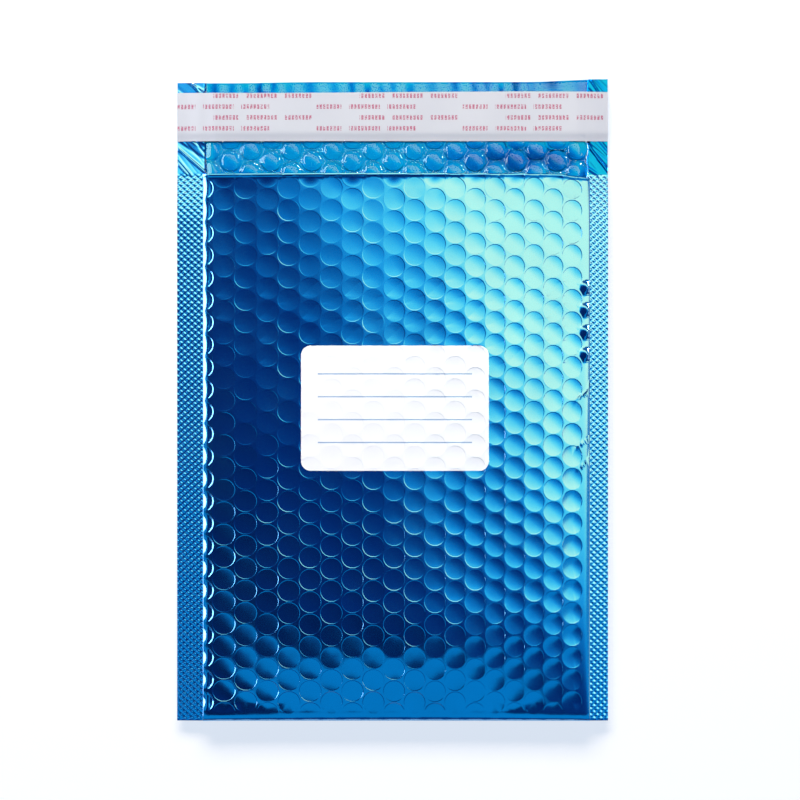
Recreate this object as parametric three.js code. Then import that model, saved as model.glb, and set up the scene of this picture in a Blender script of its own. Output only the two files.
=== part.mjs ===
// Padded envelope, empty and unsealed, lying on its back with its flap laid open.
// Millimetres. X runs across, Y from the bottom fold to the flap's edge, Z up from the table.
import * as THREE from "three";

// Outline
const WIDTH = 180; // across, over both side seals
const BODY_LENGTH = 228; // bottom fold to mouth
const FLAP_LENGTH = 39; // mouth to the flap's edge
const SEAL_LEFT = 10.8; // width of the left side seal
const SEAL_RIGHT = 7.6; // width of the right side seal
const SEAL_THICKNESS = 0.8; // both skins and their bubbles, welded flat
const SEAL_SLOPE = 0.07; // the seals droop outwards

// Walls, from the outside in
const DIMPLE_PITCH_X = 8.56; // between columns of bubbles
const DIMPLE_PITCH_Y = 9.3; // between bubbles of one column
const DIMPLE_DEPTH = 1.0; // how far the skin is drawn in over each bubble
const FILM = 0.35; // skin under the deepest point of a dimple
const CLEAR = 0.3; // between pieces that touch
const LINING = 2.4; // bubble film at its full height
const LINING_EDGE = 0.9; // bubble film where it is crushed beside the seals
const BUBBLE_WEB = 1.2; // bubble film between its bubbles

// Shape of the pocket
const FOLD_GAP = 0.5; // space left between the linings at the bottom fold
const FOLD_REACH = 4; // how far the rounded bottom fold stands out
const FOLD_RUN = 45; // length over which the front rises from the fold
const POCKET_RISE = 5.9; // how far the front stands up in the middle
const FRONT_WALL_RUN = 3.5; // width of the steep shoulder beside the seals, front
const BACK_WALL_RUN = 5; // the same on the back
const REST_STRIP = 1.5; // plain strip of the back that lies on the table
const MOUTH_RUN = 20; // length over which the seals come down towards the flap
const FLAP_RUN = 12;

// Inner edges, measured in from the seals
const CAVITY_INSET = 0.9;
const LINING_INSET = 3;
const LINING_TAPER = 3;
const LINING_SHORT = 0.8; // the lining stops short of the cut edges
const BUBBLE_START = 1.5; // bare bubbles start past the mouth

// Closing strip
const LINER_WIDTH = 20.4;
const LINER_FROM_EDGE = 4.6; // flap's edge to the liner
const LINER_THICKNESS = 0.3;
const ADHESIVE_MARGIN = 2.8; // liner stands past the adhesive
const ADHESIVE_END = 1.5; // adhesive stops short of the sides
const ADHESIVE_THICKNESS = 0.3;
const COVER_RUN = 6; // width over which the strip drops onto the seals

// Facets
const FOLD_STEPS = 4;
const COARSE_STEP_X = 22;
const COARSE_STEP_Y = 30;

const LENGTH = BODY_LENGTH + FLAP_LENGTH;
const BOTTOM = -LENGTH / 2;
const TOP = LENGTH / 2;
const MOUTH = BOTTOM + BODY_LENGTH;
const FOLD_START = BOTTOM + FOLD_REACH;
const SIDE = WIDTH / 2;
const POCKET_LEFT = SEAL_LEFT - SIDE;
const POCKET_RIGHT = SIDE - SEAL_RIGHT;
const POCKET_MIDDLE = (POCKET_LEFT + POCKET_RIGHT) / 2;
const POCKET_HALF = (POCKET_RIGHT - POCKET_LEFT) / 2;
const SKIN = DIMPLE_DEPTH + FILM;
const WALL = SKIN + CLEAR + LINING;
const FOLD_HEIGHT = 2 * WALL + FOLD_GAP;
const FRONT_FIELD = FRONT_WALL_RUN / 2; // the dimples start half way up the shoulder
const BACK_FIELD = BACK_WALL_RUN + REST_STRIP;

const silver = { roughness: 0.3, metalness: 0.9 };
const filmFinish = new THREE.MeshStandardMaterial({ color: 0x0f70b8, ...silver });
const bubbleFinish = new THREE.MeshStandardMaterial({ color: 0xcfe4f2, roughness: 0.15 });
const adhesiveFinish = new THREE.MeshStandardMaterial({ color: 0xe6e3d2, roughness: 0.4 });
const linerFinish = new THREE.MeshStandardMaterial({ color: 0xdcdde6, roughness: 0.45 });

// Curves that the surfaces are made of

const clamp = (t) => Math.min(1, Math.max(0, t));

function ease(t) {
  const s = clamp(t);
  return s * s * (3 - 2 * s);
}

// A quarter of an ellipse: steep at 0, level at 1.
const quarter = (t) => Math.sqrt(1 - (1 - clamp(t)) ** 2);

// Distance in from the nearer seal; negative on the seals.
const inFromSeal = (x) => Math.min(x - POCKET_LEFT, POCKET_RIGHT - x);

// Middle of the welded seals: half way up the pocket, and lower along the flap.
function sealMiddle(x, y) {
  const towardsFlap = ease((y - MOUTH + MOUTH_RUN) / (MOUTH_RUN + FLAP_RUN));
  const height = (FOLD_HEIGHT + (WALL - FOLD_HEIGHT) * towardsFlap) / 2;
  return height + Math.min(0, inFromSeal(x)) * SEAL_SLOPE;
}

const sealTop = (x, y) => sealMiddle(x, y) + SEAL_THICKNESS / 2;
const sealUnder = (x, y) => sealMiddle(x, y) - SEAL_THICKNESS / 2;

// The front stands up between the seals and comes down to the bottom fold.
function crown(x, y) {
  const across = 1 - ((x - POCKET_MIDDLE) / POCKET_HALF) ** 2;
  const along = 1 - (1 - clamp((y - FOLD_START) / FOLD_RUN)) ** 2;
  return POCKET_RISE * Math.max(0, across) * along;
}

function frontOuter(x, y) {
  const low = sealTop(x, y);
  const rise = quarter(inFromSeal(x) / FRONT_WALL_RUN);
  return low + (FOLD_HEIGHT - low) * rise + crown(x, y);
}

function backOuter(x, y) {
  return sealUnder(x, y) * (1 - quarter(inFromSeal(x) / BACK_WALL_RUN));
}

// The inside of the skin closes to an edge beside each seal.
function skinInside(outer, side) {
  return (x, y) => {
    const edge = sealMiddle(x, y);
    const open = ease((inFromSeal(x) - CAVITY_INSET) / (LINING_INSET - CAVITY_INSET));
    return edge + (outer(x, y) + side * SKIN - edge) * open;
  };
}

const frontInner = skinInside(frontOuter, -1);
const backInner = skinInside(backOuter, 1);

function liningThickness(x) {
  const full = ease((inFromSeal(x) - LINING_INSET) / LINING_TAPER);
  return LINING_EDGE + (LINING - LINING_EDGE) * full;
}

const frontLiningOuter = (x, y) => frontInner(x, y) - CLEAR;
const backLiningOuter = (x, y) => backInner(x, y) + CLEAR;
const frontLiningInner = (x, y) => frontLiningOuter(x, y) - liningThickness(x);
const backLiningInner = (x, y) => backLiningOuter(x, y) + liningThickness(x);
const bubbleWeb = (x, y) => backLiningInner(x, y) - (LINING - BUBBLE_WEB) * liningThickness(x) / LINING;

// Top of the flap that the closing strip lies on: bubble tops, then the seals.
function flapCover(x, y) {
  const low = sealTop(x, y);
  return low + CLEAR + (WALL - low) * ease(inFromSeal(x) / COVER_RUN);
}

const adhesiveUnder = flapCover;
const adhesiveTop = (x, y) => flapCover(x, y) + ADHESIVE_THICKNESS;
const linerUnder = (x, y) => adhesiveTop(x, y) + CLEAR;
const linerTop = (x, y) => linerUnder(x, y) + LINER_THICKNESS;

// Triangles between rows of points

const samePoint = (a, b) => a.every((value, axis) => value === b[axis]);

function addTriangle(list, a, b, c) {
  if (samePoint(a, b) || samePoint(b, c) || samePoint(c, a)) return;
  list.push(a, b, c);
}

// Joins rows that have as many points as each other.
function ribbon(list, rows, up) {
  for (let r = 1; r < rows.length; r++) {
    for (let i = 1; i < rows[r].length; i++) {
      const [a, b] = [rows[r - 1][i - 1], rows[r - 1][i]];
      const [c, d] = [rows[r][i - 1], rows[r][i]];
      if (up) {
        addTriangle(list, a, b, c);
        addTriangle(list, b, d, c);
      } else {
        addTriangle(list, a, c, b);
        addTriangle(list, b, c, d);
      }
    }
  }
}

// Joins two rows with different points, taking the next point that lags along one axis.
function zip(list, first, second, axis, up) {
  let i = 0;
  let j = 0;
  const ahead = (row, k) => (k + 1 < row.length ? Math.abs(row[k + 1][axis] - row[0][axis]) : Infinity);
  while (i + 1 < first.length || j + 1 < second.length) {
    const a = first[i];
    const b = second[j];
    const stepFirst = ahead(first, i) <= ahead(second, j);
    const next = stepFirst ? first[++i] : second[++j];
    if (up) addTriangle(list, a, next, b);
    else addTriangle(list, a, b, next);
  }
}

const rowOf = (xs, y, surface) => xs.map((x) => [x, y, surface(x, y)]);
const gridOf = (xs, ys, surface) => ys.map((y) => rowOf(xs, y, surface));

// Evenly spaced values from one end to the other, both included.
function spaced(from, to, step) {
  const count = Math.max(1, Math.round((to - from) / step));
  return Array.from({ length: count + 1 }, (_, i) => from + ((to - from) * i) / count);
}

// A field of staggered six-sided cells. Its corners lie on the surface and its centres are
// moved by relief. Returns its four edges.
function cellField(list, surface, relief, x0, x1, y0, y1, up) {
  const columns = Math.round((x1 - x0) / DIMPLE_PITCH_X);
  const levels = Math.round((2 * (y1 - y0)) / DIMPLE_PITCH_Y);
  const wide = (x1 - x0) / columns;
  const high = (y1 - y0) / levels;
  const zigzag = DIMPLE_PITCH_Y ** 2 / (8 * wide);
  const hasCentre = (i, k) => (i + k) % 2 === 0;
  const corner = (i, k) => {
    const inside = i > 0 && i < columns;
    const x = x0 + i * wide + (inside ? (hasCentre(i, k) ? -zigzag : zigzag) : 0);
    const y = y0 + k * high;
    return [x, y, surface(x, y)];
  };
  const centre = (i, k) => {
    const x = x0 + (i + 0.5) * wide;
    const y = y0 + k * high;
    return [x, y, surface(x, y) + relief];
  };
  const row = (k) => {
    const points = [corner(0, k)];
    for (let i = 0; i < columns; i++) {
      if (hasCentre(i, k)) points.push(centre(i, k));
      points.push(corner(i + 1, k));
    }
    return points;
  };
  const side = (i) => Array.from({ length: levels + 1 }, (_, k) => corner(i, k));
  // The corners round a cell, anticlockwise; a cell on the first or last level is half a cell.
  const around = (i, k) => {
    const above = [corner(i + 1, k), corner(i + 1, k + 1), corner(i, k + 1), corner(i, k)];
    const below = [corner(i, k), corner(i, k - 1), corner(i + 1, k - 1), corner(i + 1, k)];
    if (k === 0) return above;
    if (k === levels) return below;
    return [...above, ...below.slice(1)];
  };
  for (let i = 0; i < columns; i++) {
    for (let k = i % 2; k <= levels; k += 2) {
      const ring = around(i, k);
      for (let n = 1; n < ring.length; n++) {
        const [from, to] = up ? [ring[n - 1], ring[n]] : [ring[n], ring[n - 1]];
        addTriangle(list, centre(i, k), from, to);
      }
    }
  }
  return { bottom: row(0), top: row(levels), left: side(0), right: side(columns) };
}

// Points round a fold, from above to below, at each x.
function foldRows(xs, reach, above, below) {
  const rows = [];
  for (let n = 0; n <= FOLD_STEPS; n++) {
    const turn = Math.PI * (0.5 - n / FOLD_STEPS);
    rows.push(
      xs.map((x) => {
        const high = above(x, FOLD_START);
        const low = below(x, FOLD_START);
        if (n === 0) return [x, FOLD_START, high];
        if (n === FOLD_STEPS) return [x, FOLD_START, low];
        const y = FOLD_START - reach * Math.cos(turn);
        return [x, y, (high + low) / 2 + ((high - low) / 2) * Math.sin(turn)];
      }),
    );
  }
  return rows;
}

// Where the plain inner surfaces have their points
const EDGE_POINTS = [
  CAVITY_INSET,
  (CAVITY_INSET + LINING_INSET) / 2,
  LINING_INSET,
  LINING_INSET + LINING_TAPER / 2,
  LINING_INSET + LINING_TAPER,
];
const PLAIN = LINING_INSET + LINING_TAPER;
const CAVITY_X = [
  ...EDGE_POINTS.map((d) => POCKET_LEFT + d),
  ...spaced(POCKET_LEFT + PLAIN, POCKET_RIGHT - PLAIN, COARSE_STEP_X).slice(1, -1),
  ...EDGE_POINTS.map((d) => POCKET_RIGHT - d).reverse(),
];
const LINING_X = CAVITY_X.filter((x) => inFromSeal(x) > LINING_INSET - CLEAR / 2);
const FOLD_Y = [0, 0.12, 0.3, 0.6].map((part) => FOLD_START + FOLD_RUN * part);
const MOUTH_Y = [MOUTH - MOUTH_RUN, MOUTH - MOUTH_RUN / 2];
const BODY_Y = [...FOLD_Y, ...spaced(FOLD_START + FOLD_RUN, MOUTH_Y[0], COARSE_STEP_Y), MOUTH_Y[1]];
const FLAP_Y = [MOUTH + FLAP_RUN / 2, MOUTH + FLAP_RUN];

// One wall beside a field of cells: the seal, the shoulder and the strip up to the field.
function sideWall(list, surface, fieldEdge, stations, left, up) {
  const xs = stations.map((d) => (left ? POCKET_LEFT + d : POCKET_RIGHT - d));
  const outside = left ? -SIDE : SIDE;
  const rows = fieldEdge.map((point) => {
    const row = [outside, ...xs].map((x) => [x, point[1], surface(x, point[1])]);
    row.push(point);
    return left ? row : row.reverse();
  });
  ribbon(list, rows, up);
  return rows;
}

// The skin of one panel, outside: dimpled field and both walls. Returns its rims.
function outerPanel(list, surface, relief, inset, stations, y1, up) {
  const [x0, x1] = [POCKET_LEFT + inset, POCKET_RIGHT - inset];
  const field = cellField(list, surface, relief, x0, x1, FOLD_START, y1, up);
  const left = sideWall(list, surface, field.left, stations, true, up);
  const right = sideWall(list, surface, field.right, stations, false, up);
  const whole = (k, middle) => [...left.at(k).slice(0, -1), ...middle, ...right.at(k).slice(1)];
  return {
    bottom: whole(0, field.bottom),
    top: whole(-1, field.top),
    left: left.map((row) => row[0]),
    right: right.map((row) => row.at(-1)),
  };
}

// The folded skin: front, bottom fold, back, flap and both welded sides, as one sheet.
function outerFilm() {
  const list = [];
  const frontStations = [0, FRONT_WALL_RUN / 7];
  const backStations = [0, BACK_WALL_RUN / 6, BACK_WALL_RUN / 2, BACK_WALL_RUN];
  const front = outerPanel(
    list, frontOuter, -DIMPLE_DEPTH, FRONT_FIELD, frontStations, MOUTH, true,
  );
  const back = outerPanel(
    list, backOuter, DIMPLE_DEPTH, BACK_FIELD, backStations, TOP, false,
  );

  const foldX = front.bottom.map((point) => point[0]);
  const fold = foldRows(foldX, FOLD_REACH, frontOuter, backOuter);
  const around = [front.bottom, ...fold.slice(1, -1)];
  ribbon(list, around, false);
  zip(list, around.at(-1), back.bottom, 0, false);

  const inFront = gridOf(CAVITY_X, [...BODY_Y, MOUTH], frontInner);
  const inBack = gridOf(CAVITY_X, [...BODY_Y, MOUTH], backInner);
  ribbon(list, inFront, false);
  ribbon(list, inBack, true);
  ribbon(list, foldRows(CAVITY_X, FOLD_REACH - SKIN, frontInner, backInner), true);

  const sealPoint = (x, y) => [x, y, sealTop(x, y)];
  const flapRow = (y, inner) => [
    sealPoint(-SIDE, y),
    sealPoint(POCKET_LEFT, y),
    ...inner,
    sealPoint(POCKET_RIGHT, y),
    sealPoint(SIDE, y),
  ];
  const flapInside = [
    flapRow(MOUTH, inBack.at(-1)),
    ...[...FLAP_Y, TOP].map((y) => flapRow(y, rowOf(CAVITY_X, y, backInner))),
  ];
  ribbon(list, flapInside, true);

  const rim = [sealPoint(POCKET_LEFT, MOUTH), ...inFront.at(-1), sealPoint(POCKET_RIGHT, MOUTH)];
  zip(list, front.top.slice(1, -1), rim, 0, true);
  zip(list, flapInside.at(-1), back.top, 0, true);

  const middle = FOLD_STEPS / 2;
  for (const [end, edge, up] of [[0, "left", true], [-1, "right", false]]) {
    const foldEnd = around.map((row) => row.at(end));
    const upper = [...foldEnd.slice(0, middle + 1).reverse(), ...front[edge].slice(1)];
    const flapEdge = flapInside.slice(1).map((row) => row.at(end));
    const lower = [...foldEnd.slice(middle), ...back[edge]];
    zip(list, [...upper, ...flapEdge], lower, 1, up);
  }
  return list;
}

// Clear bubble film: one sheet folded up inside the skin and on over the flap.
function bubbleLining() {
  const list = [];
  const bodyY = [...BODY_Y, MOUTH - LINING_SHORT];
  const flapY = [...FLAP_Y, TOP - LINING_SHORT];
  const outFront = gridOf(LINING_X, bodyY, frontLiningOuter);
  const inFront = gridOf(LINING_X, bodyY, frontLiningInner);
  const outBack = gridOf(LINING_X, [...bodyY, ...flapY], backLiningOuter);
  const inBack = gridOf(LINING_X, bodyY, backLiningInner);
  const fold = foldRows(
    LINING_X, FOLD_REACH - SKIN - CLEAR, frontLiningOuter, backLiningOuter,
  );
  ribbon(list, outFront, true);
  ribbon(list, inFront, false);
  ribbon(list, fold, false);
  ribbon(list, outBack, false);
  ribbon(list, inBack, true);
  ribbon(list, [inFront[0], inBack[0]], true);
  ribbon(list, [outFront.at(-1), inFront.at(-1)], true);

  const [x0, x1] = [LINING_X[0], LINING_X.at(-1)];
  const bubbles = cellField(
    list, bubbleWeb, LINING - BUBBLE_WEB, x0, x1, MOUTH + BUBBLE_START, TOP - LINING_SHORT, true,
  );
  zip(list, inBack.at(-1), bubbles.bottom, 0, true);
  zip(list, bubbles.top, outBack.at(-1), 0, true);

  for (const [end, edge, up] of [[0, "left", true], [-1, "right", false]]) {
    const side = (rows) => rows.map((row) => row.at(end));
    ribbon(list, [side(outFront), side(inFront)], up);
    ribbon(list, [side(outBack.slice(0, bodyY.length)), side(inBack)], !up);
    zip(list, side(fold), [side(inFront)[0], side(inBack)[0]], 2, !up);
    const flapOutside = side(outBack.slice(bodyY.length - 1));
    const flapInside = [side(inBack).at(-1), ...bubbles[edge]];
    zip(list, flapOutside, flapInside, 1, !up);
  }
  return list;
}

// A thin strip across the flap, between two surfaces.
function strip(under, top, x0, x1, y0, y1) {
  const list = [];
  const drop = [0, COVER_RUN / 4, COVER_RUN / 2, (3 * COVER_RUN) / 4, COVER_RUN];
  const xs = [
    x0,
    ...drop.map((d) => POCKET_LEFT + d),
    ...drop.map((d) => POCKET_RIGHT - d).reverse(),
    x1,
  ];
  const ys = [y0, ...FLAP_Y.filter((y) => y > y0 && y < y1), y1];
  const above = gridOf(xs, ys, top);
  const below = gridOf(xs, ys, under);
  ribbon(list, above, true);
  ribbon(list, below, false);
  ribbon(list, [below[0], above[0]], true);
  ribbon(list, [below.at(-1), above.at(-1)], false);
  ribbon(list, [below.map((row) => row[0]), above.map((row) => row[0])], false);
  ribbon(list, [below.map((row) => row.at(-1)), above.map((row) => row.at(-1))], true);
  return list;
}

const LINER_TOP = TOP - LINER_FROM_EDGE;
const LINER_BOTTOM = LINER_TOP - LINER_WIDTH;

function adhesiveStrip() {
  const end = SIDE - ADHESIVE_END;
  const [y0, y1] = [LINER_BOTTOM + ADHESIVE_MARGIN, LINER_TOP - ADHESIVE_MARGIN];
  return strip(adhesiveUnder, adhesiveTop, -end, end, y0, y1);
}

function releaseLiner() {
  return strip(linerUnder, linerTop, -SIDE, SIDE, LINER_BOTTOM, LINER_TOP);
}

function meshOf(name, triangles, material) {
  const geometry = new THREE.BufferGeometry();
  geometry.setAttribute("position", new THREE.Float32BufferAttribute(triangles.flat(), 3));
  geometry.computeVertexNormals();
  const mesh = new THREE.Mesh(geometry, material);
  mesh.name = name;
  return mesh;
}

const envelope = new THREE.Group();
envelope.add(meshOf("outer_film", outerFilm(), filmFinish));
envelope.add(meshOf("bubble_lining", bubbleLining(), bubbleFinish));
envelope.add(meshOf("adhesive_strip", adhesiveStrip(), adhesiveFinish));
envelope.add(meshOf("release_liner", releaseLiner(), linerFinish));

export default envelope;
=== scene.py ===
"""Padded envelope of blue metallised bubble film, empty, on its back with the flap laid open.

X runs across, +Y from the bottom fold to the flap's edge and +Z up from the table, in metres.
Every film is a closed sheet: a flat pattern of bubble cells laid on a curved surface.
"""

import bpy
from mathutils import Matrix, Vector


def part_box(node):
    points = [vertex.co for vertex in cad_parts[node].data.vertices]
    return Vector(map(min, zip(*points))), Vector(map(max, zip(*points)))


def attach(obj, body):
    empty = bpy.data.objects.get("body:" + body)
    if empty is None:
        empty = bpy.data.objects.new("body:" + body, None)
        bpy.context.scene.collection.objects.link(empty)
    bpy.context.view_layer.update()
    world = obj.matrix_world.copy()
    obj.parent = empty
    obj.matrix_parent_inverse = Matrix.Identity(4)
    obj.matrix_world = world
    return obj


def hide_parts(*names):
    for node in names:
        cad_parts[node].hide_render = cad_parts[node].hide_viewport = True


bl_info = {
    "name": "Padded Envelope",
    "version": (1, 0, 0),
    "blender": (4, 5, 0),
    "location": "3D View > Sidebar > Envelope",
    "description": "Builds the films, seals and closing strip of a padded envelope",
    "category": "Mesh",
}

import bpy
import numpy as np
from mathutils import Vector

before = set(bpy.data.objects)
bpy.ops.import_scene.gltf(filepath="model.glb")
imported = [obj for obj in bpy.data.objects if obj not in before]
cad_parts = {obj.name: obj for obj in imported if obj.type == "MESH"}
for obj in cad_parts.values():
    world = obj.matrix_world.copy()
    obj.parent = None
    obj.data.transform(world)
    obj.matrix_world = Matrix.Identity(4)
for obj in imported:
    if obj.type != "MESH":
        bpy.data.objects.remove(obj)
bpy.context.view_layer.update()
MM = 0.001

# Outline, from the model's nodes
SKIN_LOW, SKIN_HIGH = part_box("outer_film")
LINER_LOW, LINER_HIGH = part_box("release_liner")
SIDE = SKIN_HIGH.x
BOTTOM, TOP = SKIN_LOW.y, SKIN_HIGH.y

# Sizes that the model is made with
MOUTH = BOTTOM + 228 * MM
SEAL_LEFT = 10.8 * MM
SEAL_RIGHT = 7.6 * MM
SEAL_THICKNESS = 0.8 * MM
SEAL_SLOPE = 0.07
WALL = 4.05 * MM
FOLD_HEIGHT = 8.6 * MM
FOLD_REACH = 4 * MM
FOLD_RUN = 45 * MM
POCKET_RISE = SKIN_HIGH.z - FOLD_HEIGHT
FRONT_WALL_RUN = 3.5 * MM
BACK_WALL_RUN = 5 * MM
MOUTH_RUN = 20 * MM
FLAP_RUN = 12 * MM
COVER_RUN = 6 * MM
SKIN_DEPTH = 1.35 * MM
CLEAR = 0.3 * MM
POCKET_LEFT = SEAL_LEFT - SIDE
POCKET_RIGHT = SIDE - SEAL_RIGHT
POCKET_MIDDLE = (POCKET_LEFT + POCKET_RIGHT) / 2
POCKET_HALF = (POCKET_RIGHT - POCKET_LEFT) / 2
FOLD_START = BOTTOM + FOLD_REACH

# Lengths along the film
WALL_RISE = FOLD_HEIGHT / 2 - SEAL_THICKNESS / 2
FRONT_ARC = np.pi / 2 * np.sqrt((FRONT_WALL_RUN**2 + WALL_RISE**2) / 2)
BACK_ARC = np.pi / 2 * np.sqrt((BACK_WALL_RUN**2 + WALL_RISE**2) / 2)
FRONT_HALF = POCKET_HALF - FRONT_WALL_RUN + FRONT_ARC
BACK_HALF = POCKET_HALF - BACK_WALL_RUN + BACK_ARC
FOLD_ARC = 13.2 * MM
FRONT_LENGTH = MOUTH - FOLD_START
BACK_LENGTH = TOP - FOLD_START

# Front shoulder: runs of its tight and round parts, and the tight part's share of the rise
TIGHT_RUN = 0.3 * MM
ROUND_RUN = 2.2 * MM
TIGHT_LEFT, TIGHT_RIGHT = 0.77, 0.96
TIGHT_SWING = 0.2

# Edges: droop of the mouth, reach of the flap's two corners, and the depth of both
MOUTH_DROOP = 1.4 * MM
FLAP_CORNERS = (-0.5 * MM, 1.1 * MM)
EDGE_DEPTH = 12 * MM

# Bubbles: columns stand side by side, every other one half a bubble lower
PITCH_X = 8.53 * MM
PITCH_Y = 9.3 * MM
FRONT_START = (-72.7 * MM, 1.3 * MM)
FRONT_WARP = 3.5 * MM
FRONT_COLUMNS = (0, 17)
BACK_START = (-52.3 * MM, 230.1 * MM)

# Dimples: slopes of one and of a whole column, and the rim and extra depth at the left edge
LEAN = 0.01
COLUMN_LEAN = 0.014
EDGE_RIM = 0.42 * MM
EDGE_DEEPER = 0.16 * MM

# Pillows beside the right seal: first and last row, offset, half height and slopes
PUCKER_ROWS = (5, 8)
PUCKER_OFFSET = 3.4 * MM
PUCKER_HALF = 4 * MM
PUCKER_SLOPES = (0.28, -0.14)

# Creases beside the right seal: start, end, width and height
FRONT_CREASES = (
    ((70 * MM, 116 * MM), (84 * MM, 108 * MM), 0.5 * MM, 0.25 * MM),
    ((74 * MM, 124 * MM), (84 * MM, 115 * MM), 0.4 * MM, 0.25 * MM),
    ((73 * MM, 95 * MM), (84 * MM, 86 * MM), 0.4 * MM, 0.25 * MM),
)

# Flap: heights and length of its broad wave, and height of the small waves at its edge
WAVE_LEFT, WAVE_RIGHT = 0.18 * MM, 0.81 * MM
WAVE_LENGTH = 34 * MM
STREAK = 0.26 * MM

# Bubble film: height of a bubble, and how far the film stays from the seals and its end
BUBBLE_HEIGHT = 2.35 * MM
LINING_INSET = 0.4 * MM
LINING_SHORT = 0.8 * MM

# Liner: height over the flap, of its waves and beside the seals, its edges, and thickness
LINER_RISE = 0.95 * MM
LINER_WAVE = 0.06 * MM
LINER_BRIDGE = 0.8 * MM
LINER_BEND = 0.4 * MM
LINER_SWAY = 0.3 * MM
LINER_THICKNESS = 0.2 * MM

# Address field and its lines, whose width is a share of their pitch
FIELD_MIDDLE = Vector((1 * MM, -3 * MM, 0))
FIELD_HALF = Vector((39 * MM, 26 * MM, 0))
FIELD_CORNER = 4 * MM
LINE_PITCH = 9.5 * MM
LINE_SHARE = 0.056
LINE_REACH = (32 * MM, 19 * MM)
LINE_COLOUR = (0.30, 0.42, 0.62)

# Dashes on the liner: middle and half width of each group, and shifts, as shares of a period
DASH_GROUPS = ((0.085, 0.085), (0.328, 0.106), (0.58, 0.096))
ROW_SHIFT, ODD_SHIFT = 0.52, 0.706
DASH_SHARE = 0.64
DASH_OFFSET = 1.9 * MM

# Stage: the floor's depth, what it adds for rays that look at it, the world and the camera
FLOOR_DEPTH = 0.2 * MM
FLOOR_GLOW = (0.68, 0.73, 0.80)
HORIZON = (1.0, 1.0, 1.0)
SKY = (0.01, 0.10, 0.28)
CAMERA_AIM = (3.1 * MM, 0.4 * MM)
VIEW_LEVEL = 5 * MM


def length_setting(name, description, default):
    """A property for a length."""
    return bpy.props.FloatProperty(
        name=name, description=description, default=default, unit="LENGTH"
    )


def colour_setting(name, description, default):
    """A property for a colour."""
    return bpy.props.FloatVectorProperty(
        name=name, description=description, default=default, subtype="COLOR", size=3, min=0, max=1
    )


class EnvelopeFilm(bpy.types.PropertyGroup):
    """Shape of the films."""

    dimple_radius: length_setting("Dimple Radius", "Outer radius of a dimple", 4.62 * MM)
    dimple_rim: length_setting("Dimple Rim", "Width of the slope round a dimple", 0.36 * MM)
    dimple_depth: length_setting("Dimple Depth", "Depth in the middle of a dimple", 0.2 * MM)
    dimple_dish: length_setting("Dimple Dish", "How much less deep its side is", 0.15 * MM)
    film_thickness: length_setting("Film Thickness", "Thickness of the skin", 0.25 * MM)
    slack: length_setting("Slack", "Height of the broad waves in the front", 0.22 * MM)
    knurl_x: length_setting("Knurl Across", "Distance between the pattern's columns", 1.45 * MM)
    knurl_y: length_setting("Knurl Along", "Distance between dots of one column", 2.55 * MM)
    knurl_depth: length_setting("Knurl Depth", "Half height of the pressed pattern", 0.15 * MM)
    bubble_radius: length_setting("Bubble Radius", "Radius of a clear bubble", 4.35 * MM)
    bubble_thickness: length_setting("Clear Film", "Thickness of the clear film", 0.2 * MM)


class EnvelopeFinish(bpy.types.PropertyGroup):
    """Colours of the films."""

    film: colour_setting("Film", "Outside of the metallised film", (0.09, 0.33, 0.66))
    film_inside: colour_setting("Film Inside", "Inside of the same film", (0.002, 0.19, 0.55))
    field: colour_setting("Address Field", "White ink of the field", (0.93, 0.93, 0.95))
    bubble: colour_setting("Bubble Film", "Clear bubble film", (0.86, 0.97, 1.0))
    adhesive: colour_setting("Adhesive", "Hot-melt adhesive", (0.80, 0.78, 0.66))
    liner: colour_setting("Liner", "Release liner", (0.53, 0.545, 0.61))
    dashes: colour_setting("Liner Dashes", "Ink of the liner's dashes", (0.36, 0.06, 0.14))


class EnvelopeStage(bpy.types.PropertyGroup):
    """Floor, lights and camera."""

    camera_height: length_setting("Camera Height", "Camera above the floor", 1.55)
    view_width: length_setting("View Width", "Width of the picture at the film", 334 * MM)
    card_height: length_setting("Card Height", "Overhead card above the floor", 0.6)
    floor: colour_setting("Floor", "Colour of the floor", (0.34, 0.31, 0.28))


# Curves and surfaces

def ease(t):
    """Smooth step: 0 below 0, 1 above 1 and 3 t^2 - 2 t^3 between."""
    t = np.clip(t, 0, 1)
    return t * t * (3 - 2 * t)


def ramp(x, start, run):
    """Smooth step from 0 at the start to 1 at the end of the run, both in millimetres."""
    return ease((x - start * MM) / (run * MM))


def quarter(t):
    """A quarter of an ellipse, steep at 0 and level at 1: the root of 1 - (1 - t)^2."""
    return np.sqrt(1 - (1 - np.clip(t, 0, 1)) ** 2)


def chance(column, row, kind):
    """A fixed number from 0 to 1 for each bubble: the fraction of a large multiple of a sine."""
    return np.modf(np.abs(np.sin(column * 12.99 + row * 78.23 + kind * 37.7) * 43758.5))[0]


def in_from_seal(x):
    """Distance in from the nearer seal; negative on the seals."""
    return np.minimum(x - POCKET_LEFT, POCKET_RIGHT - x)


def shoulder(x, y):
    """Share of the front's rise beside a seal: a tight, steep quarter ellipse, then a parabola.

    The parabola carries more of the rise on the left, where the film rounds more softly. There
    its share swings as a cosine with the bubbles' pitch, and more so low down.
    """
    low_down = 0.6 + 0.4 * ramp(-y, -10, 50)
    swing = TIGHT_SWING * low_down * (0.6 + 0.4 * np.cos(2 * np.pi * y / PITCH_Y))
    tight = np.where(x < POCKET_MIDDLE, TIGHT_LEFT + swing, TIGHT_RIGHT)
    past = np.clip((in_from_seal(x) - TIGHT_RUN) / ROUND_RUN, 0, 1)
    return tight * quarter(in_from_seal(x) / TIGHT_RUN) + (1 - tight) * past * (2 - past)


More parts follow.
